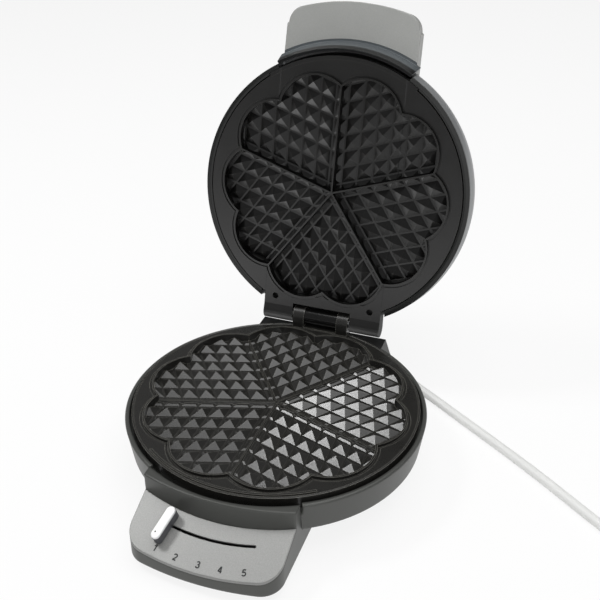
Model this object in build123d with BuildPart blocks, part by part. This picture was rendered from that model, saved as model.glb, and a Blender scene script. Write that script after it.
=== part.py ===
from build123d import *

import math
import os

# Millimetres. The origin is the middle of the footprint on the table, +Z up, with the handles
# towards -Y and the hinge towards +Y. Heights inside the body are measured from the top of the
# lower grid's rim, and places across it from the grid's centre.
grid_centre_y = -18.402
floor_depth = 37.5
foot_h = 5.0
rim_height = floor_depth + foot_h

# Lower plate.
plate_r = 86.3
lip = 1.0
lip_stand = 0.3
body_margin = 4.3
grid_body_r = plate_r - body_margin
plate_flange_depth = 9.0
plate_back_depth = 13.0
front_rib_margin = 1.7
front_rib_w = 1.4
front_rib_out = plate_r - front_rib_margin
front_rib_in = front_rib_out - front_rib_w
front_rib_half_angle = 35.5
front_rib_stand = 1.1

# Grids: lobed rim in a shallow moat, dividers and pyramids.
lower_margin = 6.3
lower_reach = plate_r - lower_margin
lower_cusp_in = 8.0
lower_cusp = lower_reach - lower_cusp_in
grids_apart = 4.3
upper_reach = lower_reach - grids_apart
upper_cusp_in = 8.2
upper_cusp = upper_reach - upper_cusp_in
rim_wall = 1.1
rim_stand = 1.4
moat_w = 1.6
moat_depth = 0.8
pyramid_pitch = 10.4555
pyramid_start = -0.72
pyramid_flat = 0.4
groove_w = 1.1
tip_depth = 2.87
groove_depth = 5.64
strip_depth = 4.9
lower_divider_depth = 3.9
divider_top = 1.0
divider_foot = 3.0

# Hinge, measured from the grid's centre and rim, and the angle at which the open lid rests.
hinge_margin = 1.2
hinge_back = plate_r + hinge_margin
hinge_rise = 5.25
open_angle = 103.1

# Base shell.
plate_play = 1.7
shell_inner_r = plate_r + plate_play
shell_rim_w = 2.5
shoulder_r = shell_inner_r + shell_rim_w
shoulder_depth = 3.5
shoulder_bevel = 0.8
shell_taper = 2.5
foot_r = shoulder_r - shell_taper
foot_depth = 22.4
dish_in = 28.0
dish_r = foot_r - dish_in
shell_wall = 2.2
ledge_w = 5.2
ledge_in = shell_inner_r - ledge_w
floor_hole_r = dish_r - 8.0
front_gap_depth = 10.0
front_gap_half_angle = 29.5
passage_half = 31.0
passage_l = 36.0

# Nose, collar and control panel.
nose_half = 43.8
nose_corner = 10.8
front_half = nose_half - nose_corner
nose_reach = 28.0
nose_tip = shoulder_r + nose_reach
nose_wall = 2.4
nose_round = 2.0
collar_depth = 2.6
collar_margin = 2.4
collar_curve_r = 136.7
collar_curve_y = collar_curve_r - shoulder_r - collar_margin
panel_in = 5.0
panel_y = -shoulder_r + panel_in
panel_depth = 13.0
panel_slope = 24.228
panel_t = 1.5
panel_gap = 0.15
lever_radius = 116.4
pivot_in = 18.0
pivot_reach = lever_radius - pivot_in
slot_half_angle = 12.27
slot_w = 1.5

# Lever.
lever_rest_angle = -11.3
lever_w = 5.1
lever_l = 14.0
lever_shift = 2.1
lever_inner = lever_radius + lever_shift - lever_l / 2
lever_outer = lever_inner + lever_l
lever_h = 8.0
cap_t = 1.5
skirt_lift = 0.5
neck_w = 3.4
neck_t = 1.3
neck_drop = 5.0
arm_w = 7.0
arm_t = 1.6
spindle_r = 3.0
running = 0.05
hub_r = 7.0
hub_t = 3.5
hub_gap = 0.5
thermostat_r = 8.5
thermostat_t = 7.5
thermostat_gap = 2.6
spindle_past = 2.5

# Hinge pieces.
pin_r = 3.0
pin_half = 38.2
knuckle_r = 6.5
sleeve_r = 5.5
sleeve_gap = 0.4
arm_knuckle_r = 5.8
arm_lift = 0.35
block_half = 19.2
recess_half = 11.5
arm_gap = 1.0
arm_inner = block_half + arm_gap
arm_outer = 41.0
cutout_in = 8.5
cutout_y = hinge_back - cutout_in
arm_root = 7.0
rear_half = 44.0
rear_gap = 0.2
boss_x = 33.3
boss_in = 11.8
boss_y = hinge_back - boss_in
boss_hole_r = 2.15

# Lid, heights measured when it is closed.
upper_rim_z = -1.2
upper_plate_in = 2.2
upper_plate_r = plate_r - upper_plate_in
upper_flange_z = 5.0
upper_back_z = 10.0
upper_step_w = 1.4
upper_step_r = upper_plate_r + upper_step_w
upper_step_half_angle = 34.4
ring_gap = 0.6
ring_w = 3.7
ring_in = upper_plate_r + ring_gap
ring_out = ring_in + ring_w
ring_z = -0.2
ring_top = 3.0
flank_in = 4.9
crown_in = 16.4
shell_points = [
    (ring_out, ring_top),
    (ring_out + 1.1, 8.5),
    (ring_out + 0.2, 20.0),
    (ring_out - flank_in, 31.5),
    (ring_out - crown_in, 37.0),
]
dome_z = 39.5
crown_flat_r = 20.0
lid_wall = 2.2
rear_opening_z = 14.0
skirt_bottom = -0.5
skirt_in = shell_inner_r
skirt_t = 1.9
skirt_flare = 6.4
skirt_top_r = skirt_in + skirt_flare
skirt_top_z = 12.6
tongue_margin = 0.5
tongue_half = nose_half - tongue_margin
tongue_tip = nose_tip - tongue_margin
tongue_root_z = 11.0
tongue_tip_z = 14.0
tongue_t = 9.0
tongue_round = 1.5

# Heating tubes and reflectors.
heater_r = 3.25
heater_in = 32.0
heater_ring_r = grid_body_r - heater_in
heater_seat = 0.2
heater_gap = 26.0
heater_bend = 8.0
heater_tail = 6.0
heater_groove = 3.0
reflector_wall = 0.8
reflector_past = 16.0
reflector_r = heater_ring_r + reflector_past
reflector_flange = 4.0
reflector_drop = 6.0
reflector_cut_w = 44.0
lower_cut_l = 54.0
upper_cut_l = 22.0

# Rear housing, feet and cover.
housing_top = 5.0
housing_run = 23.0
housing_back = hinge_back + housing_run
housing_cover_back = hinge_back + 4.5
housing_front = plate_r - 16.3
housing_step = 8.0
stop_half = 7.0
stop_gap = 0.2
foot_pad_r = 7.5
front_foot = (30.0, -foot_r - 7.0)
rear_foot = (33.0, foot_r - 4.0)
cover_t = 1.5
cover_edge = 5.0
vent_l = 24.0
vent_w = 3.5
vent_run = 34.0
vent_pitch = 9.0
block_xy = (34.0, 30.0)
fuse_xy = (-30.0, 0.0)

# Cord.
cord_r = 3.0
exit_margin = 5.9
exit_xy = (rear_half, housing_back - exit_margin)
exit_heading = -33.0
exit_depth = floor_depth - 4.7
exit_fall = 0.12
relief_length = 15.0
relief_r = 4.2
relief_root = 8.0
cord_points = [(84.5, 80.7, 4.0), (102.5, 68.7, 3.0), (127.0, 51.6, 3.0), (158.0, 29.0, 3.0)]
coil_start_xy = (218.0, -18.0)
coil_heading = -36.87
coil_run_in = 33.0
coil_r = 39.0
coil_turns = 1.75
coil_gap = 0.9
coil_pitch = 2 * cord_r + coil_gap
coil_rise = 2 * cord_r + 0.7
coil_dip = 2.6
plug_r = 18.5
plug_run = 62.0
plug_body_l = 16.0
plug_neck_l = 24.0
plug_neck_r = 8.5
pin_gap = 19.0
plug_pin_r = 2.4
plug_pin_l = 19.0


def at(x, y, z):
    """A point given from the grid's centre and the lower rim's top."""
    return Vector(x, grid_centre_y + y, rim_height + z)


turn = math.radians(open_angle)
base = Plane(at(0, 0, 0), x_dir=(1, 0, 0), z_dir=(0, 0, 1))
base_side = Plane(base.origin, x_dir=(1, 0, 0), z_dir=(0, -1, 0))
base_profile = Plane(base.origin, x_dir=(0, 1, 0), z_dir=(1, 0, 0))
base_axis = Axis(base.origin, base.z_dir)
lid_y = hinge_back - hinge_back * math.cos(turn) - hinge_rise * math.sin(turn)
lid_z = hinge_rise + hinge_back * math.sin(turn) - hinge_rise * math.cos(turn)
lid = Plane(at(0, lid_y, lid_z), x_dir=(1, 0, 0), z_dir=(0, math.sin(turn), math.cos(turn)))
lid_side = Plane(lid.origin, x_dir=lid.x_dir, z_dir=-lid.y_dir)
lid_profile = Plane(lid.origin, x_dir=lid.y_dir, z_dir=lid.x_dir)
lid_axis = Axis(lid.origin, lid.z_dir)
hinge_point = at(0, hinge_back, hinge_rise)


def finish(part, label):
    part.label = label
    os.makedirs("parts", exist_ok=True)
    export_step(part, f"parts/{label}.step")


def lobes(plane, reach, cusp, grow):
    """Outline of five hearts round the centre: ten round lobes that meet in cusps."""
    centre = (reach**2 - cusp**2) / (2 * (reach - cusp * math.cos(math.radians(18))))
    with BuildSketch(plane) as outline:
        Circle(centre)
        with PolarLocations(centre, 10):
            Circle(reach - centre + grow)
    return outline.sketch


def sector(plane, inner, outer, middle, half_angle):
    """Part of a flat ring, centred on the angle middle."""
    with BuildSketch(plane) as piece:
        with BuildLine():
            CenterArc((0, 0), outer, middle - half_angle, 2 * half_angle)
            CenterArc((0, 0), inner, middle - half_angle, 2 * half_angle)
            first = math.radians(middle - half_angle)
            last = math.radians(middle + half_angle)
            for angle in (first, last):
                ray = (math.cos(angle), math.sin(angle))
                Line((inner * ray[0], inner * ray[1]), (outer * ray[0], outer * ray[1]))
        make_face()
    return piece.sketch


def heart_bed(plane, reach, cusp, up, edge_depth):
    """Pyramids of one heart, left by two saw-tooth cuts that run along its two dividers.

    up is +1 where the pyramids point along the plane's normal and -1 where they point against it.
    edge_depth is the depth of the strip beside the dividers, from which the first groove falls.
    """
    lean = math.sin(math.radians(72))
    rows = math.ceil(reach / (pyramid_pitch * lean))
    half = (pyramid_pitch * lean - pyramid_flat - groove_w) / 2
    flank = half / (groove_depth - tip_depth)
    grooves = [
        (pyramid_start + (step + 0.5) * pyramid_pitch) * lean - groove_w / 2 for step in range(rows)
    ]
    edge = grooves[0] - (groove_depth - edge_depth) * flank
    teeth = [(-9, 2), (-9, -edge_depth), (edge, -edge_depth)]
    for groove in grooves:
        foot = groove + groove_w
        teeth.append((groove, -groove_depth))
        teeth.append((foot, -groove_depth))
        teeth.append((foot + half, -tip_depth))
        teeth.append((foot + half + pyramid_flat, -tip_depth))
    teeth.append((teeth[-1][0], 2))
    far = 2 * reach
    corners = [(0, 0)]
    for heading in (-18, 54):
        way = math.radians(heading)
        corners.append((far * math.cos(way), far * math.sin(way)))
    with BuildPart() as bed:
        with BuildSketch(plane.offset(-up * (groove_depth + 1))):
            add(lobes(Plane.XY, reach, cusp, -rim_wall / 2))
            Polygon(*corners, align=None, mode=Mode.INTERSECT)
        extrude(amount=up * (groove_depth + 1 - tip_depth))
        for heading, sign in ((-18, 1), (54, -1)):
            way = math.radians(heading)
            along = plane.x_dir * math.cos(way) + plane.y_dir * math.sin(way)
            across = (plane.y_dir * math.cos(way) - plane.x_dir * math.sin(way)) * sign
            cut = Plane(plane.origin - along * 40, x_dir=across, z_dir=along * sign * up)
            with BuildSketch(cut):
                Polygon(*teeth, align=None)
            extrude(amount=160 * sign * up, mode=Mode.SUBTRACT)
    return bed.part


def hearts(plane, reach, cusp, up, divider_depth, edge_depth):
    """Five beds round the centre, with the dividers between them."""
    turned = []
    bed = heart_bed(plane, reach, cusp, up, edge_depth)
    axis = Axis(plane.origin, plane.z_dir)
    for count in range(5):
        turned.append(bed.rotate(axis, 72 * count))
    ribs = []
    for count in range(5):
        way = math.radians(54 + 72 * count)
        along = plane.x_dir * math.cos(way) + plane.y_dir * math.sin(way)
        with BuildPart() as rib:
            with BuildSketch(Plane(plane.origin, x_dir=plane.z_dir.cross(along) * up, z_dir=along)):
                half_top, half_foot = divider_top / 2, divider_foot / 2
                low = -groove_depth - 1
                points = [(-half_foot, low), (half_foot, low)]
                points += [(half_top, -divider_depth), (-half_top, -divider_depth)]
                Polygon(*points, align=None)
            extrude(amount=cusp + 0.3)
        ribs.append(rib.part)
    return turned + ribs


# The base shell's outer form is kept as a tool, so that its neighbours are cut to it.
with BuildPart() as shell_tool:
    with BuildSketch(base_side):
        Polygon(
            (0, -shoulder_depth),
            (shoulder_r - shoulder_bevel, -shoulder_depth),
            (shoulder_r, -shoulder_depth - shoulder_bevel),
            (foot_r, -foot_depth),
            (dish_r, -floor_depth),
            (0, -floor_depth),
            align=None,
        )
    revolve(axis=base_axis)
    with BuildSketch(base.offset(-plate_flange_depth)):
        with Locations((0, hinge_back + 2.5)):
            Rectangle(2 * (rear_half + rear_gap), 36)
    extrude(amount=20, mode=Mode.SUBTRACT)

# Lower plate.
with BuildPart() as lower_plate:
    surround = -rim_stand
    moat = surround - moat_depth
    back = -plate_back_depth
    groove_in = heater_ring_r - heater_r - heater_seat
    groove_out = heater_ring_r + heater_r + heater_seat
    with BuildSketch(base_side):
        Polygon(
            (0, surround),
            (plate_r - lip - 0.3, surround),
            (plate_r - lip, surround + lip_stand),
            (plate_r, surround + lip_stand - 0.15),
            (plate_r, -plate_flange_depth),
            (grid_body_r, -plate_flange_depth),
            (grid_body_r, back),
            (groove_out, back),
            (groove_out, back + heater_groove),
            (groove_in, back + heater_groove),
            (groove_in, back),
            (0, back),
            align=None,
        )
    revolve(axis=base_axis)
    with BuildSketch(base.offset(moat)):
        add(lobes(Plane.XY, lower_reach, lower_cusp, rim_wall / 2 + moat_w))
    extrude(amount=moat_depth + 1, mode=Mode.SUBTRACT)
    with BuildSketch(base.offset(moat - 0.5)):
        add(lobes(Plane.XY, lower_reach, lower_cusp, rim_wall / 2))
    extrude(amount=-moat + 0.5)
    with BuildSketch(base.offset(-groove_depth - 0.5)):
        add(lobes(Plane.XY, lower_reach, lower_cusp, -rim_wall / 2))
    extrude(amount=groove_depth + 1, mode=Mode.SUBTRACT)
    with BuildSketch(base.offset(surround - 0.5)):
        add(sector(Plane.XY, front_rib_in, front_rib_out, -90, front_rib_half_angle))
    extrude(amount=front_rib_stand + 0.5)
    # Hinge block with its two ears and the recess for the sleeve.
    with BuildSketch(base_profile.offset(-block_half)):
        front = hinge_back - knuckle_r
        rear = hinge_back + knuckle_r
        Polygon(
            (front, surround - 1),
            (plate_r - 1, surround - 1),
            (plate_r - 1, surround - 1.8),
            (rear, surround - 1.8),
            (rear, hinge_rise),
            (front, hinge_rise),
            align=None,
        )
        with Locations((hinge_back, hinge_rise)):
            Circle(knuckle_r)
    extrude(amount=2 * block_half)
    with BuildSketch(base_profile.offset(-recess_half)):
        with Locations((hinge_back, hinge_rise)):
            Rectangle(3 * knuckle_r, 2 * (sleeve_r + sleeve_gap))
        with Locations((hinge_back, hinge_rise + knuckle_r)):
            Rectangle(3 * knuckle_r, 2 * knuckle_r)
    extrude(amount=2 * recess_half, mode=Mode.SUBTRACT)
    with BuildSketch(base_profile.offset(-block_half)):
        with Locations((hinge_back, hinge_rise)):
            Circle(pin_r)
    extrude(amount=2 * block_half, mode=Mode.SUBTRACT)
    add(hearts(base, lower_reach, lower_cusp, 1, lower_divider_depth, strip_depth))
finish(lower_plate.part, "lower_plate")

# Base shell: an open dish with a ledge for the plate.
with BuildPart() as base_shell:
    add(shell_tool.part)
    with BuildSketch(base_side):
        inner_floor = -floor_depth + shell_wall
        Polygon(
            (0, 1),
            (shell_inner_r, 1),
            (shell_inner_r, -plate_flange_depth),
            (ledge_in, -plate_flange_depth),
            (ledge_in, -plate_flange_depth - shell_wall),
            (shell_inner_r - 1.2, -plate_flange_depth - shell_wall),
            (foot_r - shell_wall - 0.2, -foot_depth + 1),
            (dish_r - 1, inner_floor),
            (floor_hole_r, inner_floor),
            (floor_hole_r, -floor_depth - 1),
            (0, -floor_depth - 1),
            align=None,
        )
    revolve(axis=base_axis, mode=Mode.SUBTRACT)
    with BuildSketch(base.offset(-front_gap_depth)):
        add(sector(Plane.XY, shell_inner_r - 0.5, shoulder_r + 1, -90, front_gap_half_angle))
    extrude(amount=20, mode=Mode.SUBTRACT)
    with BuildSketch(base.offset(-floor_depth + 5)):
        with Locations((0, -foot_r + 10)):
            Rectangle(2 * passage_half, passage_l)
    extrude(amount=floor_depth - 5 - front_gap_depth - 4, mode=Mode.SUBTRACT)
finish(base_shell.part, "base_shell")

# The panel's plane slopes down towards the front; v runs up it.
panel = Plane(
    at(0, panel_y, -panel_depth),
    x_dir=(1, 0, 0),
    z_dir=(0, -math.sin(math.radians(panel_slope)), math.cos(math.radians(panel_slope))),
)


def nose_plan(plane, inset):
    """Plan of the nose, rounded at its front corners."""
    side = nose_half - inset
    tip = -nose_tip + inset
    with BuildSketch(plane) as plan:
        with BuildLine():
            first = (front_half, tip + 3.3)
            front = ThreePointArc((-first[0], first[1]), (0, tip), first)
            right = ThreePointArc(first, (side - 3.8, tip + 7.2), (side - 0.3, tip + 15.5))
            left = ThreePointArc(front @ 0, (-side + 3.8, tip + 7.2), (-side + 0.3, tip + 15.5))
            Polyline(right @ 1, (side, -50), (-side, -50), left @ 1)
        make_face()
    return plan.sketch


with BuildPart() as above_panel:
    with BuildSketch(panel.offset(-panel_t)):
        Rectangle(160, 160)
    extrude(amount=80)
    with BuildSketch(base.offset(-60)):
        with Locations((0, collar_curve_y)):
            Circle(collar_curve_r)
    extrude(amount=90, mode=Mode.SUBTRACT)

with BuildPart() as above_panel_inner:
    with BuildSketch(panel.offset(-panel_t - nose_wall)):
        Rectangle(160, 160)
    extrude(amount=80)
    with BuildSketch(base.offset(-60)):
        with Locations((0, collar_curve_y)):
            Circle(collar_curve_r - nose_wall)
    extrude(amount=90, mode=Mode.SUBTRACT)

lever_turn = math.radians(lever_rest_angle)
lever_x = panel.x_dir * math.cos(lever_turn) + panel.y_dir * math.sin(lever_turn)
lever = Plane(panel.origin + panel.y_dir * pivot_reach, x_dir=lever_x, z_dir=panel.z_dir)
lever_side = Plane(lever.origin, x_dir=lever.y_dir, z_dir=lever.x_dir)
spindle = Plane(lever.origin, x_dir=(1, 0, 0), z_dir=panel.z_dir)


def arc_slot(plane, width, extra):
    """Arc slot of the lever, round the spindle's axis."""
    with BuildSketch(plane) as slot:
        with BuildLine(mode=Mode.PRIVATE) as path:
            start = -90 - slot_half_angle - extra
            CenterArc((0, pivot_reach), lever_radius, start, 2 * (slot_half_angle + extra))
        SlotArc(path.edges()[0], width)
    return slot.sketch


with BuildPart() as nose_hollow:
    with BuildSketch(base.offset(-floor_depth + nose_wall)):
        add(nose_plan(Plane.XY, nose_wall))
    extrude(amount=floor_depth - collar_depth - 2 * nose_wall)
    add(above_panel_inner.part, mode=Mode.SUBTRACT)

# Nose: collar in front of the body and hollow handle under the panel.
with BuildPart() as base_nose:
    with BuildSketch(base.offset(-floor_depth)):
        add(nose_plan(Plane.XY, 0))
    extrude(amount=floor_depth - collar_depth)
    fillet(base_nose.faces().sort_by(Axis.Z)[0].edges(), nose_round)
    add(above_panel.part, mode=Mode.SUBTRACT)
    add(nose_hollow.part, mode=Mode.SUBTRACT)
    add(shell_tool.part, mode=Mode.SUBTRACT)
    with BuildSketch(base.offset(-shoulder_depth - shoulder_bevel)):
        Circle(shoulder_r)
    extrude(amount=shoulder_depth + shoulder_bevel, mode=Mode.SUBTRACT)
    with BuildSketch(panel.offset(-panel_t - nose_wall - 1)):
        add(arc_slot(Plane.XY, neck_t + 3, 1))
    extrude(amount=nose_wall + 2, mode=Mode.SUBTRACT)
finish(base_nose.part, "base_nose")

# Control panel, laid on the nose.
with BuildPart() as control_panel:
    with BuildSketch(base.offset(-floor_depth)):
        add(nose_plan(Plane.XY, 0))
    extrude(amount=floor_depth)
    with BuildSketch(base.offset(-floor_depth - 1)):
        with Locations((0, collar_curve_y)):
            Circle(collar_curve_r + panel_gap)
    extrude(amount=floor_depth + 2, mode=Mode.SUBTRACT)
    with BuildSketch(panel):
        Rectangle(160, 160)
    extrude(amount=80, mode=Mode.SUBTRACT)
    with BuildSketch(panel.offset(-panel_t)):
        Rectangle(160, 160)
    extrude(amount=-80, mode=Mode.SUBTRACT)
    with BuildSketch(panel.offset(-panel_t - 1)):
        add(arc_slot(Plane.XY, slot_w, 0.6))
    extrude(amount=panel_t + 2, mode=Mode.SUBTRACT)
finish(control_panel.part, "control_panel")

# Lever: a cap on a skirt, whose neck goes through the slot to the arm below.
lever_middle = -(lever_inner + lever_outer) / 2
lever_length = lever_l + lever_w
with BuildPart() as lever_skirt:
    with BuildSketch(lever.offset(skirt_lift)):
        with Locations((0, lever_middle)):
            SlotOverall(lever_length, lever_w, rotation=90)
    extrude(amount=lever_h - cap_t - skirt_lift)
    with BuildSketch(lever.offset(-neck_drop)):
        with Locations((0, -lever_radius)):
            Rectangle(neck_w, neck_t)
    extrude(amount=neck_drop + skirt_lift)
finish(lever_skirt.part, "lever_skirt")

with BuildPart() as lever_cap:
    with BuildSketch(lever.offset(lever_h - cap_t)):
        with Locations((0, lever_middle)):
            SlotOverall(lever_length, lever_w, rotation=90)
    extrude(amount=cap_t)
    fillet(lever_cap.faces().sort_by(Axis(lever.origin, lever.z_dir))[-1].edges(), 0.7)
finish(lever_cap.part, "lever_cap")

# The arm runs level from the spindle to the slot, and turns with its hub on the spindle.
slope = math.tan(math.radians(panel_slope))
tilt = math.radians(panel_slope)
pivot_rise = pivot_reach * math.sin(tilt) - panel_depth
clear_drop = plate_back_depth + thermostat_gap + thermostat_r * math.sin(tilt)
thermostat_top = (pivot_rise + clear_drop) / math.cos(tilt)
hub_top = thermostat_top + thermostat_t + hub_gap
spindle_end = hub_top + hub_t + spindle_past
arm_z = -hub_top - hub_t / 2
arm_end = arm_z + lever_radius * slope
with BuildPart() as lever_arm:
    with BuildSketch(lever.offset(-hub_top - hub_t)):
        Circle(hub_r)
    extrude(amount=hub_t)
    with BuildSketch(lever_side.offset(-arm_w / 2)):
        start = spindle_r + 1.5
        bend = thermostat_r + 1.5
        Polygon(
            (-start, arm_z - arm_t / 2),
            (-start, arm_z + arm_t / 2),
            (-bend, arm_z + arm_t / 2),
            (-lever_radius + 1.6, arm_end + arm_t / 2 - 1.6 * slope),
            (-lever_radius + 1.6, -neck_drop),
            (-lever_radius - 1.6, -neck_drop),
            (-lever_radius - 1.6, arm_end - arm_t / 2 + 1.6 * slope),
            (-bend, arm_z - arm_t / 2),
            align=None,
        )
    extrude(amount=arm_w)
    with BuildSketch(lever.offset(-hub_top - hub_t - 4)):
        Circle(spindle_r + running)
    extrude(amount=hub_t + 8, mode=Mode.SUBTRACT)
finish(lever_arm.part, "lever_arm")

# Thermostat with its spindle, held to the plate by a wedge.
with BuildPart() as thermostat:
    with BuildSketch(spindle.offset(-thermostat_top)):
        Circle(thermostat_r)
    extrude(amount=-thermostat_t)
    with BuildSketch(spindle.offset(-thermostat_top - thermostat_t)):
        Circle(spindle_r)
    extrude(amount=thermostat_top + thermostat_t - spindle_end)
finish(thermostat.part, "thermostat")

spindle_side = Plane(spindle.origin, x_dir=spindle.y_dir, z_dir=spindle.x_dir)
with BuildPart() as thermostat_bracket:
    with BuildSketch(spindle_side.offset(-thermostat_r + 2)):
        with Locations((0, -thermostat_top + 15)):
            Rectangle(2 * (thermostat_r - 1), 30)
    extrude(amount=2 * (thermostat_r - 2))
    with BuildSketch(base.offset(-plate_back_depth)):
        Rectangle(120, 120)
    extrude(amount=60, mode=Mode.SUBTRACT)
finish(thermostat_bracket.part, "thermostat_bracket")

with BuildPart() as spindle_clip:
    with BuildSketch(spindle.offset(-hub_top - hub_t - 0.15)):
        Circle(spindle_r + 2)
        Circle(spindle_r, mode=Mode.SUBTRACT)
    extrude(amount=-0.8)
finish(spindle_clip.part, "spindle_clip")


def heater_tube(plane, up):
    """Heating tube: most of a ring, with its two ends bent away from the plate at the back."""
    spin = 360 - heater_gap
    with BuildPart() as tube:
        for side in (1, -1):
            way = math.radians(90 + side * heater_gap / 2)
            ray = plane.x_dir * math.cos(way) + plane.y_dir * math.sin(way)
            ahead = plane.z_dir.cross(ray) * -side
            end = plane.origin + ray * heater_ring_r
            with BuildSketch(Plane(end, x_dir=ray, z_dir=ahead)):
                Circle(heater_r)
            if side == 1:
                revolve(axis=Axis(plane.origin, plane.z_dir), revolution_arc=spin)
            with BuildLine() as path:
                rise = plane.z_dir * up
                corner = end + ahead * heater_bend + rise * heater_bend
                TangentArc(end, corner, tangent=ahead)
                Line(corner, corner + rise * heater_tail)
            with BuildSketch(Plane(end, x_dir=ray, z_dir=ahead)):
                Circle(heater_r)
            sweep(path=path.wires()[0])
    return tube.part


heater_z = -plate_back_depth + heater_groove - heater_r
lower_heater = heater_tube(base.offset(heater_z), -1)
finish(lower_heater, "lower_heater")


def reflector(side, axis, plane, start, up, cut):
    """Shallow pan round the heating tube, with a flange against the plate."""
    wall = reflector_wall
    floor = start + up * reflector_drop
    with BuildPart() as pan:
        with BuildSketch(side):
            Polygon(
                (reflector_r + reflector_flange, start),
                (reflector_r, start),
                (reflector_r - wall, floor),
                (0, floor),
                (0, floor + up * wall),
                (reflector_r, floor + up * wall),
                (reflector_r + wall, start + up * wall),
                (reflector_r + reflector_flange, start + up * wall),
                align=None,
            )
        revolve(axis=axis)
        with BuildSketch(plane.offset(floor - up)):
            with Locations(cut[0]):
                Rectangle(*cut[1])
        extrude(amount=4 * up, mode=Mode.SUBTRACT)
    return pan.part


lower_cut = ((0, heater_ring_r - 17), (reflector_cut_w, lower_cut_l))
lower_reflector = reflector(base_side, base_axis, base, -plate_back_depth, -1, lower_cut)
finish(lower_reflector, "lower_reflector")

# Rear housing: closes the back under the hinge, with a stop for the open lid.
lowest = shell_points[2]
drop_back = (lowest[0] - hinge_back) * math.cos(turn) + (lowest[1] - hinge_rise) * math.sin(turn)
drop_rise = (lowest[1] - hinge_rise) * math.cos(turn) - (lowest[0] - hinge_back) * math.sin(turn)
stop_y = hinge_back + drop_back
stop_z = hinge_rise + drop_rise - stop_gap
exit_way = math.radians(exit_heading)
exit_dir = Vector(math.cos(exit_way), math.sin(exit_way), -exit_fall).normalized()
across_exit = Vector(-exit_dir.Y, exit_dir.X, 0)
relief = Plane(at(*exit_xy, -exit_depth), x_dir=across_exit, z_dir=exit_dir)
with BuildPart() as rear_housing:
    with BuildSketch(base_profile.offset(-rear_half)):
        Polygon(
            (housing_front - housing_step, -floor_depth),
            (housing_front - housing_step, -plate_flange_depth),
            (housing_front, -plate_flange_depth),
            (housing_front, -housing_top),
            (housing_cover_back, -housing_top),
            (housing_back - 2, -exit_depth + 6),
            (housing_back, -exit_depth + 4),
            (housing_back, -floor_depth),
            align=None,
        )
    extrude(amount=2 * rear_half)
    with BuildSketch(base_profile.offset(-stop_half)):
        low = -housing_top - 1
        Polygon(
            (hinge_back + knuckle_r + 1, low),
            (stop_y - 3, stop_z),
            (stop_y + 2.5, stop_z),
            (stop_y + 2.5, -exit_depth + 8),
            (stop_y - 4, -exit_depth + 8),
            align=None,
        )
    extrude(amount=2 * stop_half)
    add(shell_tool.part, mode=Mode.SUBTRACT)
    with BuildSketch(base.offset(-plate_flange_depth - 0.01)):
        Circle(shell_inner_r - 1)
    extrude(amount=20, mode=Mode.SUBTRACT)
    with BuildSketch(relief.offset(-relief_root)):
        Circle(relief_r)
    extrude(amount=30, mode=Mode.SUBTRACT)
finish(rear_housing.part, "rear_housing")

# Bottom cover, held in the shell's floor by its edge.
with BuildPart() as bottom_cover:
    inner = -floor_depth + shell_wall
    with BuildSketch(base_side):
        Polygon(
            (0, -floor_depth),
            (floor_hole_r - rear_gap, -floor_depth),
            (floor_hole_r - rear_gap, inner),
            (floor_hole_r + cover_edge, inner),
            (floor_hole_r + cover_edge, inner + cover_t),
            (0, inner + cover_t),
            align=None,
        )
    revolve(axis=base_axis)
    with BuildSketch(base.offset(-floor_depth - 1)):
        with GridLocations(vent_run, vent_pitch, 2, 3):
            SlotOverall(vent_l, vent_w)
    extrude(amount=cover_t + shell_wall + 3, mode=Mode.SUBTRACT)
finish(bottom_cover.part, "bottom_cover")

pads = [(side * x, y) for x, y in (front_foot, rear_foot) for side in (-1, 1)]
for label, place in zip(("front_left", "front_right", "rear_left", "rear_right"), pads):
    with BuildPart() as pad:
        with BuildSketch(base.offset(-floor_depth)):
            with Locations(place):
                Circle(foot_pad_r)
        extrude(amount=floor_depth - rim_height, taper=8)
    finish(pad.part, f"foot_{label}")

with BuildPart() as cover_screws:
    with BuildSketch(base.offset(-floor_depth + shell_wall + cover_t)):
        with PolarLocations(floor_hole_r + cover_edge / 2, 3, start_angle=30):
            Circle(2.2)
    extrude(amount=1.8)
finish(cover_screws.part, "cover_screws")

with BuildPart() as hinge_pin:
    with BuildSketch(base_profile.offset(-pin_half)):
        with Locations((hinge_back, hinge_rise)):
            Circle(pin_r)
    extrude(amount=2 * pin_half)
finish(hinge_pin.part, "hinge_pin")

with BuildPart() as hinge_sleeve:
    with BuildSketch(base_profile.offset(-recess_half)):
        with Locations((hinge_back, hinge_rise)):
            Circle(sleeve_r)
            Circle(pin_r, mode=Mode.SUBTRACT)
    extrude(amount=2 * recess_half)
finish(hinge_sleeve.part, "hinge_sleeve")

# Terminal block on the cover, thermal fuse under the plate, and the wires between them.
block_top = -floor_depth + shell_wall + cover_t
with BuildPart() as terminal_block:
    with BuildSketch(base.offset(block_top)):
        with Locations(block_xy):
            Rectangle(12, 22)
    extrude(amount=8)
finish(terminal_block.part, "terminal_block")

with BuildPart() as thermal_fuse:
    with BuildSketch(base.offset(-plate_back_depth)):
        with Locations(fuse_xy):
            Rectangle(5, 14)
    extrude(amount=-4)
finish(thermal_fuse.part, "thermal_fuse")

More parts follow.
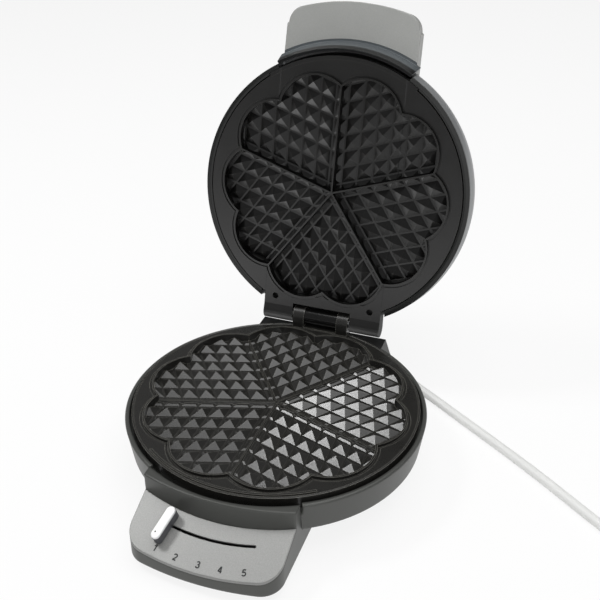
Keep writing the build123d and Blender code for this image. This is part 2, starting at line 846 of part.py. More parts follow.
# Upper plate, drawn on the lid's own plane: its hearts face down when the lid is closed.
with BuildPart() as upper_plate:
    face = upper_rim_z + rim_stand
    heater_floor = upper_back_z - heater_groove
    with BuildSketch(lid_side):
        Polygon(
            (0, face),
            (upper_plate_r, face),
            (upper_plate_r, upper_flange_z),
            (grid_body_r - 1, upper_flange_z),
            (grid_body_r - 1, upper_back_z),
            (groove_out, upper_back_z),
            (groove_out, heater_floor),
            (groove_in, heater_floor),
            (groove_in, upper_back_z),
            (0, upper_back_z),
            align=None,
        )
    revolve(axis=lid_axis)
    with BuildSketch(lid.offset(face - lip_stand)):
        add(sector(Plane.XY, upper_plate_r - 1, upper_step_r, -90, upper_step_half_angle))
    extrude(amount=upper_flange_z - face + lip_stand)
    with BuildSketch(lid.offset(face - 1)):
        add(lobes(Plane.XY, upper_reach, upper_cusp, rim_wall / 2 + moat_w))
    extrude(amount=1 + moat_depth, mode=Mode.SUBTRACT)
    with BuildSketch(lid.offset(upper_rim_z)):
        add(lobes(Plane.XY, upper_reach, upper_cusp, rim_wall / 2))
    extrude(amount=rim_stand + moat_depth + 0.5)
    with BuildSketch(lid.offset(upper_rim_z - 1)):
        add(lobes(Plane.XY, upper_reach, upper_cusp, -rim_wall / 2))
    extrude(amount=groove_depth + 1.5, mode=Mode.SUBTRACT)
    # Arms of the hinge, one each side of the base's block.
    with BuildSketch(lid_profile.offset(-arm_outer)):
        low = hinge_rise - arm_knuckle_r
        Polygon(
            (cutout_y - arm_root, arm_lift),
            (hinge_back - arm_knuckle_r, arm_lift),
            (hinge_back, low),
            (hinge_back, hinge_rise + arm_knuckle_r),
            (hinge_back - arm_root, upper_back_z),
            (cutout_y - arm_root, upper_back_z),
            align=None,
        )
        with Locations((hinge_back, hinge_rise)):
            Circle(arm_knuckle_r)
    extrude(amount=2 * arm_outer)
    with BuildSketch(lid.offset(-6)):
        with Locations((0, cutout_y + 10)):
            Rectangle(2 * arm_inner, 20)
    extrude(amount=30, mode=Mode.SUBTRACT)
    with BuildSketch(lid_profile.offset(-pin_half - running)):
        with Locations((hinge_back, hinge_rise)):
            Circle(pin_r + running)
    extrude(amount=2 * (pin_half + running), mode=Mode.SUBTRACT)
    with BuildSketch(lid.offset(-6)):
        with Locations((-boss_x, boss_y), (boss_x, boss_y)):
            Circle(boss_hole_r)
    extrude(amount=30, mode=Mode.SUBTRACT)
    add(hearts(lid.offset(upper_rim_z), upper_reach, upper_cusp, -1, 0, tip_depth))
finish(upper_plate.part, "upper_plate")

# Lid shell: a shallow dome, open at the front for the skirt and at the back for the hinge.
def dome(points, top):
    """Face under a bulging flank and a crown that is flat in the middle."""
    edge_r, edge_z = points[-1]
    crown_r = (edge_r**2 + (top - edge_z) ** 2) / (2 * (top - edge_z))
    flat = top - crown_flat_r**2 / (2 * crown_r)
    middle = (edge_r + crown_flat_r) / 2
    with BuildSketch() as face:
        with BuildLine():
            Polyline((0, points[0][1]), points[0], points[1])
            flank = ThreePointArc(*points[1:4])
            TangentArc(points[3], points[4], tangent=flank % 1)
            ThreePointArc(points[4], (middle, top - middle**2 / (2 * crown_r)), (crown_flat_r, flat))
            Polyline((crown_flat_r, flat), (0, flat), (0, points[0][1]))
        make_face()
    return face.sketch


with BuildPart() as lid_tool:
    with BuildSketch(lid_side):
        add(dome(shell_points, dome_z))
    revolve(axis=lid_axis)
inside_points = [(r - lid_wall, z - (0 if z < 4 else 1.2)) for r, z in shell_points]
with BuildPart() as lid_shell:
    with BuildSketch(lid_side):
        add(dome(shell_points, dome_z))
        add(dome(inside_points, dome_z - lid_wall), mode=Mode.SUBTRACT)
    revolve(axis=lid_axis)
    with BuildSketch(lid.offset(-5)):
        add(sector(Plane.XY, skirt_in - 8, shoulder_r + 3, -90, front_gap_half_angle))
    extrude(amount=15.5, mode=Mode.SUBTRACT)
    with BuildSketch(lid.offset(-5)):
        with Locations((0, hinge_back + 2.5)):
            Rectangle(2 * rear_half - 1, 40)
    extrude(amount=rear_opening_z + 5, mode=Mode.SUBTRACT)
finish(lid_shell.part, "lid_shell")

# Ring between the plate's edge and the shell.
with BuildPart() as lid_ring:
    shelf = upper_flange_z
    with BuildSketch(lid_side):
        Polygon(
            (ring_in, ring_z + 0.6),
            (ring_in + 1.3, ring_z),
            (ring_out, ring_z + 0.6),
            (ring_out, ring_top),
            (ring_out - 2.6, ring_top),
            (ring_out - 2.6, shelf + 1.5),
            (grid_body_r - 0.5, shelf + 1.5),
            (grid_body_r - 0.5, shelf),
            (ring_in, shelf),
            align=None,
        )
    revolve(axis=lid_axis)
    with BuildSketch(lid.offset(-5)):
        add(sector(Plane.XY, skirt_in - 8, shoulder_r + 3, -90, front_gap_half_angle))
        half_angle = upper_step_half_angle + 0.3
        add(sector(Plane.XY, upper_plate_r - 4.1, upper_step_r + 0.2, -90, half_angle))
    extrude(amount=5 + shelf, mode=Mode.SUBTRACT)
    with BuildSketch(lid.offset(-5)):
        with Locations((0, hinge_back + 2.5)):
            Rectangle(2 * rear_half - 1, 40)
    extrude(amount=30, mode=Mode.SUBTRACT)
finish(lid_ring.part, "lid_ring")

# Lid handle: a tongue over the panel, with the skirt that dips into the base's front gap.
with BuildPart() as lid_handle:
    tip = -tongue_tip
    half = tongue_half
    root = -shoulder_r + 20.5
    bend = -shoulder_r + 6.5
    with BuildSketch(lid.offset(8)):
        with BuildLine():
            first = (front_half, tip + 4.5)
            front = ThreePointArc((-first[0], first[1]), (0, tip), first)
            right = ThreePointArc(first, (half - 3.7, tip + 8.1), (half - 1, tip + 15))
            left = ThreePointArc(front @ 0, (-half + 3.7, tip + 8.1), (-half + 1, tip + 15))
            side = [(half, tip + 16), (half, root), (-half, root), (-half, tip + 16)]
            Polyline(right @ 1, *side, left @ 1)
        make_face()
    extrude(amount=20)
    with BuildSketch(lid_profile.offset(-half - 10)):
        past = tip - 12
        low = [(past, -5), (root + 10, -5), (root + 10, tongue_root_z), (bend, tongue_root_z)]
        low += [(tip, tongue_tip_z), (past, tongue_tip_z)]
        Polygon(*low, align=None)
        top = tongue_tip_z + tongue_t
        high = [(past, top - 2), (tip, top - 1.5), (bend, top)]
        high += [(root + 10, top), (root + 10, 60), (past, 60)]
        Polygon(*high, align=None)
    extrude(amount=2 * half + 20, mode=Mode.SUBTRACT)
    with BuildSketch(lid_side):
        Polygon(
            (skirt_in, skirt_bottom),
            (skirt_in + skirt_t, skirt_bottom),
            (skirt_top_r, skirt_top_z),
            (skirt_top_r - skirt_t, skirt_top_z),
            align=None,
        )
    skirt = revolve(axis=lid_axis, mode=Mode.PRIVATE)
    with BuildSketch(lid.offset(-5)):
        add(sector(Plane.XY, skirt_in - 28, skirt_in + 22, -90, front_gap_half_angle - 0.5))
    wedge = extrude(amount=30, mode=Mode.PRIVATE)
    add(skirt & wedge)
    add(lid_tool.part, mode=Mode.SUBTRACT)
finish(lid_handle.part, "lid_handle")

upper_heater = heater_tube(lid.offset(upper_back_z - heater_groove + heater_r), 1)
finish(upper_heater, "upper_heater")
upper_cut = ((0, heater_ring_r - 1), (reflector_cut_w, upper_cut_l))
upper_reflector = reflector(lid_side, lid_axis, lid, upper_back_z, 1, upper_cut)
finish(upper_reflector, "upper_reflector")

# Screws in the bosses, with their heads sunk in the holes.
with BuildPart() as plate_screws:
    with BuildSketch(lid.offset(4)):
        with Locations((-boss_x, boss_y), (boss_x, boss_y)):
            Circle(boss_hole_r)
    extrude(amount=upper_back_z - 4)
    with BuildSketch(lid.offset(upper_back_z)):
        with Locations((-boss_x, boss_y), (boss_x, boss_y)):
            Circle(boss_hole_r + 1.8)
    extrude(amount=1.5)
finish(plate_screws.part, "plate_screws")

# Strain relief: a collar in the housing's wall and a tapering sleeve outside it.
with BuildPart() as strain_relief:
    with BuildSketch(relief.offset(-relief_root)):
        Circle(relief_r)
    extrude(amount=relief_root + 2)
    with BuildSketch(relief.offset(2)):
        Circle(relief_r)
    with BuildSketch(relief.offset(relief_length)):
        Circle(cord_r + 0.9)
    loft()
finish(strain_relief.part, "strain_relief")


def fillet_route(points):
    """Radii of a route's corners: as large as the shorter run beside each one allows."""
    radii = []
    for before, here, after in zip(points, points[1:], points[2:]):
        first, second = here - before, after - here
        half_turn = math.radians(first.get_angle(second)) / 2
        radii.append(0.45 * min(first.length, second.length) / math.tan(half_turn))
    return radii


relief_end = at(*exit_xy, -exit_depth) + exit_dir * relief_length
table = cord_r
coil_way = math.radians(coil_heading)
coil_dir = Vector(math.cos(coil_way), math.sin(coil_way), 0)
coil_start = Vector(coil_start_xy[0], grid_centre_y + coil_start_xy[1], table)
route = [relief_end, relief_end + exit_dir * 13]
for x, y, z in cord_points:
    route.append(Vector(x, grid_centre_y + y, z))
route.append(coil_start - coil_dir * coil_run_in)
route.append(coil_start)
radii = fillet_route(route)
with BuildPart() as cord:
    with BuildLine() as path:
        FilletPolyline(*route, radius=radii)
    with BuildSketch(Plane(route[0], z_dir=route[1] - route[0])):
        Circle(cord_r)
    sweep(path=path.wires()[0])
finish(cord.part, "cord")
print("cord radii", [round(value, 1) for value in radii])
print("cord runs", [round((b - a).length, 1) for a, b in zip(route, route[1:])])
section = math.pi * cord_r**2
print("cord volume over section", round(cord.part.volume / section, 2), round(path.wires()[0].length, 2))

# Coil: spirals in on the table, climbs in the half turn where it reverses, and spirals out above.
left = Vector(-coil_dir.Y, coil_dir.X, 0)
coil_centre = coil_start + left * coil_r
start_angle = math.atan2(-left.Y, -left.X)
spiral_turn = 2 * math.pi * coil_turns
inner_r = coil_r - coil_pitch * coil_turns


def coil_point(turned):
    """Point of the coil's centre line after an angle turned, in radians."""
    climb = 0.0
    if turned <= spiral_turn:
        r = coil_r - coil_pitch * turned / (2 * math.pi)
    elif turned <= spiral_turn + math.pi:
        share = (turned - spiral_turn) / math.pi
        r = inner_r - coil_dip * math.sin(math.pi * share) ** 2
        climb = coil_rise * (share - math.sin(2 * math.pi * share) / (2 * math.pi))
    else:
        r = inner_r + coil_pitch * (turned - spiral_turn - math.pi) / (2 * math.pi)
        climb = coil_rise
    angle = start_angle + turned
    flat = Vector(r * math.cos(angle), r * math.sin(angle), 0)
    return coil_centre + flat + Vector(0, 0, climb)


def biarc(p, t, q, u):
    """Meeting point of the two arcs that leave p along t and reach q along u."""
    v = q - p
    bend = 2 * (1 - t.dot(u))
    along = v.dot(t + u)
    if bend < 1e-9:
        reach = v.dot(v) / (4 * v.dot(u))
    else:
        reach = (-along + math.sqrt(along**2 + bend * v.dot(v))) / bend
    return (p + q + (t - u) * reach) * 0.5


total_turn = 2 * spiral_turn + math.pi
steps = round(total_turn / (math.pi / 2))
knots = [coil_point(total_turn * step / steps) for step in range(steps + 1)]
headings = []
for step in range(steps + 1):
    here = total_turn * step / steps
    ahead = coil_point(min(here + 1e-4, total_turn))
    behind = coil_point(max(here - 1e-4, 0))
    headings.append((ahead - behind).normalized())
headings[0] = coil_dir
headings[-1] = Vector(headings[-1].X, headings[-1].Y, 0).normalized()
plug_start = knots[-1] + headings[-1] * plug_run + Vector(0, 0, plug_r - table - coil_rise)
knots += [plug_start, plug_start + headings[-1] * 2 * cord_r]
headings += [headings[-1], headings[-1]]
with BuildPart() as cord_coil:
    with BuildLine() as path:
        for p, t, q, u in zip(knots, headings, knots[1:], headings[1:]):
            if (q - p).normalized().dot(t) > 1 - 1e-9:
                Line(p, q)
            else:
                middle = biarc(p, t, q, u)
                arc = TangentArc(p, middle, tangent=t)
                TangentArc(middle, q, tangent=arc % 1)
    with BuildSketch(Plane(knots[0], z_dir=headings[0])):
        Circle(cord_r)
    sweep(path=path.wires()[0])
coil_wire = path.wires()[0]
finish(cord_coil.part, "cord_coil")
samples = [coil_wire @ (n / 700) for n in range(701)]
gaps = []
apart = 3 * cord_r * 2
spacing = coil_wire.length / 700
for i, p in enumerate(samples):
    for q in samples[i + math.ceil(apart / spacing) :]:
        gaps.append((p - q).length)
print("coil gap", round(min(gaps) - 2 * cord_r, 2), "length", round(coil_wire.length, 1))
print("coil volume over section", round(cord_coil.part.volume / section, 2))

# Plug: neck, round body and two pins.
plug_dir = headings[-1]
plug = Plane(knots[-1], x_dir=(0, 0, 1), z_dir=plug_dir)
with BuildPart() as plug_body:
    with BuildSketch(plug):
        Circle(plug_neck_r - 3)
    with BuildSketch(plug.offset(plug_neck_l)):
        Circle(plug_neck_r + 3)
    loft()
    with BuildSketch(plug.offset(plug_neck_l)):
        Circle(plug_r)
    extrude(amount=plug_body_l)
finish(plug_body.part, "plug_body")

with BuildPart() as plug_pins:
    with BuildSketch(plug.offset(plug_neck_l + plug_body_l)):
        with GridLocations(pin_gap, pin_gap, 1, 2):
            Circle(plug_pin_r)
    extrude(amount=plug_pin_l)
    fillet(plug_pins.faces().sort_by(Axis(plug.origin, plug.z_dir))[-2:].edges(), 1.5)
finish(plug_pins.part, "plug_pins")
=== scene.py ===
from math import cos, pi, radians, sin

import bpy
import numpy as np
from mathutils import Matrix, Vector


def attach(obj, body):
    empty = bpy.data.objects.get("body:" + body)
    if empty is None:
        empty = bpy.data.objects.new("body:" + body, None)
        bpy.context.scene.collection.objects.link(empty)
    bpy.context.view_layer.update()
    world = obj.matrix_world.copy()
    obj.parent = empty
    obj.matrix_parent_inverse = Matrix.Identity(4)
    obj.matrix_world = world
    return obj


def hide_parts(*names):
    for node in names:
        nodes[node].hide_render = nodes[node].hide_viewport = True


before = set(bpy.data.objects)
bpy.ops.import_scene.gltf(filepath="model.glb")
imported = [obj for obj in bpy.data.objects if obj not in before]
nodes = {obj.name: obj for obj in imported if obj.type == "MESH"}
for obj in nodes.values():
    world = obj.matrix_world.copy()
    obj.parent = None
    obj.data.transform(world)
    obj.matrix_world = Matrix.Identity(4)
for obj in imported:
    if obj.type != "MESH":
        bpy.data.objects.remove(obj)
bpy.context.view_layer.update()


print("stage: frame loaded,", len(nodes), "nodes")

# Places shared by the pieces, in metres and degrees: the grid's centre on the lower rim's top,
# the tilted planes of the open lid and of the panel, and the lever's pivot up the panel's plane
layout = {
    "gridY": -0.018402,
    "rimZ": 0.0425,
    "openAngle": 103.1,
    "hingeY": 0.0875,
    "hingeZ": 0.00525,
    "panelY": -0.0855,
    "panelZ": -0.013,
    "panelSlope": 24.228,
    "pivotUp": 0.0984,
}


# A plane as origin, x, y and normal, from which across() gives points
def planeOf(origin, xWay, normal):
    xWay, normal = Vector(xWay), Vector(normal).normalized()
    return {"origin": Vector(origin), "x": xWay, "y": normal.cross(xWay), "normal": normal}


# Rows of (u, v, height) as points in the object's frame: origin + u x + v y + height normal
def across(plane, rows):
    rows = np.asarray(rows, float)
    axes = np.array([plane["x"], plane["y"], plane["normal"]])
    return np.array(plane["origin"]) + rows @ axes


opened = radians(layout["openAngle"])
lidY = layout["hingeY"] * (1 - cos(opened)) - layout["hingeZ"] * sin(opened)
lidZ = layout["hingeZ"] * (1 - cos(opened)) + layout["hingeY"] * sin(opened)
lidOrigin = (0, layout["gridY"] + lidY, layout["rimZ"] + lidZ)
lidPlane = planeOf(lidOrigin, (1, 0, 0), (0, sin(opened), cos(opened)))
slope = radians(layout["panelSlope"])
panelOrigin = (0, layout["gridY"] + layout["panelY"], layout["rimZ"] + layout["panelZ"])
panelPlane = planeOf(panelOrigin, (1, 0, 0), (0, -sin(slope), cos(slope)))

# Camera: place, heading round the object, height angle, roll and lens
viewpoint = {
    "place": (0.1538, -0.411202, 0.3566),
    "azimuth": 19.496,
    "elevation": 30.297,
    "roll": 0.282,
    "lens": 51.93,
    "sensor": 36.0,
}


def addCamera(look):
    azimuth, elevation, roll = (radians(look[key]) for key in ("azimuth", "elevation", "roll"))
    back = Vector((sin(azimuth) * cos(elevation), -cos(azimuth) * cos(elevation), sin(elevation)))
    right = Vector((cos(azimuth), sin(azimuth), 0))
    up = back.cross(right)
    sideWay = right * cos(roll) + up * sin(roll)
    upWay = up * cos(roll) - right * sin(roll)
    lens = bpy.data.cameras.new("camera")
    lens.lens = look["lens"]
    lens.sensor_width = look["sensor"]
    lens.clip_start = 0.01
    camera = bpy.data.objects.new("camera", lens)
    turned = Matrix((sideWay, upWay, back)).transposed().to_4x4()
    camera.matrix_world = Matrix.Translation(look["place"]) @ turned
    bpy.context.scene.collection.objects.link(camera)
    bpy.context.scene.camera = camera


addCamera(viewpoint)
bpy.context.scene.view_settings.view_transform = "Standard"
print("stage: camera")


# Shader maths: a socket whose operators add Math nodes to its own material
class Signal:
    def __init__(self, finish, socket):
        self.finish = finish
        self.socket = socket

    def maths(self, operation, first, second=0.0):
        return self.finish.node("ShaderNodeMath", {"operation": operation}, {0: first, 1: second})

    def __add__(self, other):
        return self.maths("ADD", self, other)

    def __radd__(self, other):
        return self.maths("ADD", other, self)

    def __sub__(self, other):
        return self.maths("SUBTRACT", self, other)

    def __rsub__(self, other):
        return self.maths("SUBTRACT", other, self)

    def __mul__(self, other):
        return self.maths("MULTIPLY", self, other)

    def __truediv__(self, other):
        return self.maths("DIVIDE", self, other)

    def __pow__(self, other):
        return self.maths("POWER", self, other)

    def __gt__(self, other):
        return self.maths("GREATER_THAN", self, other)

    def __lt__(self, other):
        return self.maths("LESS_THAN", self, other)


# A material, or the world, in the making: node() adds any node, and paint() closes a
# material with its surface
class Finish:
    def __init__(self, name, owner=None):
        self.material = owner or bpy.data.materials.new(name)
        self.material.use_nodes = True
        self.tree = self.material.node_tree
        self.tree.nodes.clear()
        self.place = self.node("ShaderNodeTexCoord", out="Object")

    def feed(self, socket, value):
        if isinstance(value, Signal):
            self.tree.links.new(value.socket, socket)
        elif socket.type == "RGBA" and len(value) == 3:
            socket.default_value = (*value, 1.0)
        else:
            socket.default_value = value

    def node(self, kind, settings=None, sockets=None, out=0):
        made = self.tree.nodes.new(kind)
        for key, value in (settings or {}).items():
            setattr(made, key, value)
        for key, value in (sockets or {}).items():
            self.feed(made.inputs[key], value)
        return Signal(self, made.outputs[out]) if made.outputs else made

    # Noise from about 0 to 1, with cells of the size given in metres
    def cloud(self, size, detail=2.0):
        sockets = {"Vector": self.place, "Scale": 1.0 / size, "Detail": detail}
        return self.node("ShaderNodeTexNoise", None, sockets)

    # Colour between two others by a share from 0 to 1
    def blendColours(self, share, first, second):
        sockets = {0: share, 6: first, 7: second}
        return self.node("ShaderNodeMix", {"data_type": "RGBA"}, sockets, out=2)

    # How far a point lies from an origin along a direction
    def measure(self, origin, way):
        sockets = {0: self.place, 1: tuple(way)}
        dot = self.node("ShaderNodeVectorMath", {"operation": "DOT_PRODUCT"}, sockets, out="Value")
        return dot - float(Vector(origin).dot(Vector(way)))

    # Surface direction with edges rounded to that radius
    def rounded(self, radius):
        return self.node("ShaderNodeBevel", {"samples": 10}, {"Radius": radius})

    # How near an edge lies, from 0 to 1, which sets how much of the painted highlight on edges shows:
    # one less the cosine between the rounded direction and the flat one, times a gain
    def wearersAndEdgeHighlight(self, rounded, gain):
        flat = self.node("ShaderNodeNewGeometry", out="Normal")
        sockets = {0: rounded, 1: flat}
        cosine = self.node("ShaderNodeVectorMath", {"operation": "DOT_PRODUCT"}, sockets, out="Value")
        return self.node("ShaderNodeMath", {"operation": "MINIMUM"}, {0: (1 - cosine) * gain, 1: 1.0})

    # Surface direction with a relief on top of another direction
    def relief(self, height, depth, rounded=None):
        sockets = {"Height": height, "Distance": depth}
        if rounded:
            sockets["Normal"] = rounded
        return self.node("ShaderNodeBump", None, sockets)

    def paint(self, **sockets):
        sockets = {key.replace("_", " "): value for key, value in sockets.items()}
        surface = self.node("ShaderNodeBsdfPrincipled", None, sockets)
        self.node("ShaderNodeOutputMaterial", None, {"Surface": surface})
        return self.material


# A colour written as on a screen, 0 to 255, in Blender's linear values
def screen(red, green, blue):
    shares = np.array([red, green, blue]) / 255
    linear = np.where(shares < 0.04045, shares / 12.92, ((shares + 0.055) / 1.055) ** 2.4)
    return tuple(float(value) for value in linear)


# How much of the grain and of the blotches goes into a colour, and the roughness of a coat
mixture = {"grain": 0.7, "blotch": 0.3, "coatRoughness": 0.1}


# Grained finish shared by the moulded, painted and coated parts: two colours mixed by a fine
# grain and by soft blotches, roughness that wanders with both, and rounded edges, which may carry a
# painted highlight that lightens them as if they caught the light. zone() gives the share, 0 or 1,
# of a part of the node painted in a shade of its own, and the share between that painted shade's two colours
def grained(name, look, zone=None):
    finish = Finish(name)
    grain = finish.cloud(look["grain"], detail=3.0)
    blotch = finish.cloud(look["blotch"])
    share = grain * mixture["grain"] + blotch * mixture["blotch"]
    colour = finish.blendColours(share, screen(*look["dark"]), screen(*look["light"]))
    swing = look["roughSwing"]
    roughness = look["roughness"] + (grain - 0.5) * swing + (blotch - 0.5) * swing
    rounded = finish.rounded(look["edge"]) if look["edge"] else None
    # Painted highlight: rounded edges are lightened towards a colour of their own, standing in for the light
    # they catch
    if "wearersAndEdgeHighlight" in look:
        near = finish.wearersAndEdgeHighlight(finish.rounded(look["edgeHighlightReach"]), look["edgeHighlightGain"])
        colour = finish.blendColours(near, colour, screen(*look["wearersAndEdgeHighlight"]))
    # Painted shade: inside the zone the colour gives way to the two colours of a painted shade
    if zone:
        inside, level = zone(finish)
        paintedShade = finish.blendColours(level, *(screen(*look[key]) for key in ("paintedShadeDark", "paintedShadeLight")))
        colour = finish.blendColours(inside, colour, paintedShade)
        roughness = roughness + inside * look["zoneRough"]
    return finish.paint(
        Base_Color=colour,
        Roughness=roughness,
        Metallic=look.get("metallic", 0.0),
        IOR=look.get("ior", 1.45),
        Coat_Weight=look.get("coat", 0.0),
        Coat_Roughness=mixture["coatRoughness"],
        Normal=finish.relief(grain, look["depth"], rounded),
    )


# Colours as on a screen; grain, blotch, depth, edge and the painted highlight's reach in metres.
# The coats' edge colour is a painted highlight on their rounded edges, where light would catch them
gridCoat = {"dark": (24, 24, 22), "light": (38, 37, 35), "grain": 0.00035, "blotch": 0.012,
            "roughness": 0.28, "roughSwing": 0.05, "depth": 0.000005, "edge": 0.0, "ior": 1.65,
            "wearersAndEdgeHighlight": (160, 158, 150), "edgeHighlightReach": 0.0004, "edgeHighlightGain": 3.2}
# lidCoat is the same non-stick coat as gridCoat, its colours and its edge highlight painted darker for the
# shade the open lid's grid stands in
lidCoat = {**gridCoat, "ior": 1.72, "dark": (11, 11, 10), "light": (27, 26, 25), "wearersAndEdgeHighlight": (62, 61, 58),
           # The zone colours here are painted shade on the outer end faces of the hinge's arms
           "roughness": 0.3, "paintedShadeDark": (10, 10, 10), "paintedShadeLight": (16, 16, 16), "zoneRough": 0.35}
# bodyPaint, lidPaint and handlePaint are one silver-grey paint: painted darker on the base's walls for their
# shade, and lighter on the lid's shell and handle for the light from above
bodyPaint = {"dark": (70, 71, 69), "light": (88, 89, 86), "grain": 0.00030, "blotch": 0.02, "roughness": 0.4,
             "roughSwing": 0.08, "depth": 0.000008, "edge": 0.002, "metallic": 0.3}
lidPaint = {"dark": (130, 132, 133), "light": (150, 152, 153), "grain": 0.00030, "blotch": 0.03,
            "roughness": 0.36, "roughSwing": 0.08, "depth": 0.000012, "edge": 0.0008, "metallic": 0.3}
handlePaint = {"dark": (150, 151, 149), "light": (184, 185, 182), "grain": 0.00050, "blotch": 0.03,
               "roughness": 0.44, "roughSwing": 0.08, "depth": 0.000012, "edge": 0.0009, "metallic": 0.3,
               # The zone colours are painted shade on the skirt under the lid's tongue: a painted shadow
               # fading up to a lighter painted shade
               "paintedShadeDark": (12, 13, 14), "paintedShadeLight": (86, 91, 94), "zoneRough": -0.08}
ringPlastic = {"dark": (18, 19, 18), "light": (28, 29, 28), "grain": 0.0004, "blotch": 0.015,
               "roughness": 0.36, "roughSwing": 0.08, "depth": 0.00002, "edge": 0.0005}
panelSilver = {"dark": (120, 121, 120), "light": (162, 162, 160), "grain": 0.00055, "blotch": 0.03,
               "roughness": 0.45, "roughSwing": 0.08, "depth": 0.00001, "edge": 0.0005, "metallic": 0.42}
blackPlastic = {"dark": (16, 16, 16), "light": (26, 26, 26), "grain": 0.0005, "blotch": 0.01,
                "roughness": 0.48, "roughSwing": 0.08, "depth": 0.00002, "edge": 0.0004}
glossBlack = {"dark": (8, 8, 8), "light": (16, 16, 16), "grain": 0.0009, "blotch": 0.006, "roughness": 0.16,
              "roughSwing": 0.06, "depth": 0.000004, "edge": 0.0004, "coat": 0.5}
footRubber = {"dark": (22, 22, 22), "light": (38, 38, 38), "grain": 0.0006, "blotch": 0.006,
              "roughness": 0.75, "roughSwing": 0.1, "depth": 0.00004, "edge": 0.0004}
cordPlastic = {"dark": (226, 227, 225), "light": (240, 240, 238), "grain": 0.0004, "blotch": 0.02,
               "roughness": 0.42, "roughSwing": 0.08, "depth": 0.00002, "edge": 0.0}
plugPlastic = {"dark": (216, 217, 215), "light": (232, 232, 230), "grain": 0.0005, "blotch": 0.008,
               "roughness": 0.4, "roughSwing": 0.08, "depth": 0.00003, "edge": 0.0}
leverWhite = {"dark": (240, 240, 240), "light": (250, 250, 250), "grain": 0.0004, "blotch": 0.004,
              "roughness": 0.3, "roughSwing": 0.06, "depth": 0.00001, "edge": 0.0004}
leverGrey = {"dark": (66, 67, 71), "light": (88, 89, 94), "grain": 0.0004, "blotch": 0.004,
             "roughness": 0.36, "roughSwing": 0.06, "depth": 0.00001, "edge": 0.0003}
brightSteel = {"dark": (176, 177, 178), "light": (214, 215, 216), "grain": 0.0006, "blotch": 0.006,
               "roughness": 0.24, "roughSwing": 0.1, "depth": 0.00001, "edge": 0.0003, "metallic": 1.0}
heaterSteel = {"dark": (96, 90, 82), "light": (140, 134, 126), "grain": 0.0008, "blotch": 0.01,
               "roughness": 0.45, "roughSwing": 0.14, "depth": 0.00002, "edge": 0.0, "metallic": 1.0}
platedSteel = {"dark": (158, 160, 162), "light": (192, 194, 196), "grain": 0.002, "blotch": 0.01,
               "roughness": 0.36, "roughSwing": 0.14, "depth": 0.00001, "edge": 0.0003, "metallic": 1.0}
darkSteel = {"dark": (44, 44, 44), "light": (62, 62, 62), "grain": 0.0008, "blotch": 0.004, "roughness": 0.4,
             "roughSwing": 0.1, "depth": 0.00001, "edge": 0.0003, "metallic": 1.0}
pinBrass = {"dark": (188, 182, 164), "light": (214, 208, 192), "grain": 0.0006, "blotch": 0.005,
            "roughness": 0.26, "roughSwing": 0.1, "depth": 0.00001, "edge": 0.0003, "metallic": 1.0}
ceramic = {"dark": (214, 210, 200), "light": (232, 228, 218), "grain": 0.0007, "blotch": 0.004,
           "roughness": 0.6, "roughSwing": 0.1, "depth": 0.00004, "edge": 0.0003}


# The skirt under the lid's tongue, painted in shade: below its top edge and inside its largest radius,
# a painted shadow up to the shadow's height, then fading to a lighter painted shade
skirt = {"top": 0.0123, "reach": 0.0957, "shadow": 0.0042, "fade": 0.0014}


def skirtZone(finish):
    height, u, v = (finish.measure(lidPlane["origin"], lidPlane[key]) for key in ("normal", "x", "y"))
    level = finish.node("ShaderNodeClamp", None, {"Value": (height - skirt["shadow"]) / skirt["fade"]})
    return (height < skirt["top"]) * (u ** 2 + v ** 2 < skirt["reach"] ** 2), level


# The outer ends of the hinge's arms, by their distance sideways and towards the back, where the lid's
# coat is painted darker for the shade on those end faces, and made rougher
armEnds = {"inner": 0.0405, "outer": 0.0412, "back": 0.0575, "grain": 0.0004}


def armZone(finish):
    x, y = (finish.measure((0, 0, 0), way) for way in ((1, 0, 0), (0, 1, 0)))
    sideways = finish.node("ShaderNodeMath", {"operation": "ABSOLUTE"}, {0: x})
    inside = (sideways > armEnds["inner"]) * (y > armEnds["back"]) * (sideways < armEnds["outer"])
    return inside, finish.cloud(armEnds["grain"])


finishes = {
    "grid_coat": grained("gridCoat", gridCoat),
    "lid_coat": grained("lidCoat", lidCoat, armZone),
    "body_grey": grained("bodyPaint", bodyPaint),
    "lid_paint": grained("lidPaint", lidPaint),
    "handle_grey": grained("handlePaint", handlePaint, skirtZone),
    "ring_grey": grained("ringPlastic", ringPlastic),
    "panel_silver": grained("panelSilver", panelSilver),
    "black_plastic": grained("blackPlastic", blackPlastic),
    "gloss_black": grained("glossBlack", glossBlack),
    "foot_rubber": grained("footRubber", footRubber),
    "cord_grey": grained("cordPlastic", cordPlastic),
    "plug_grey": grained("plugPlastic", plugPlastic),
    "lever_white": grained("leverWhite", leverWhite),
    "lever_grey": grained("leverGrey", leverGrey),
    "bright_steel": grained("brightSteel", brightSteel),
    "heater_steel": grained("heaterSteel", heaterSteel),
    "plated_steel": grained("platedSteel", platedSteel),
    "dark_steel": grained("darkSteel", darkSteel),
    "pin_brass": grained("pinBrass", pinBrass),
    "ceramic": grained("ceramic", ceramic),
}

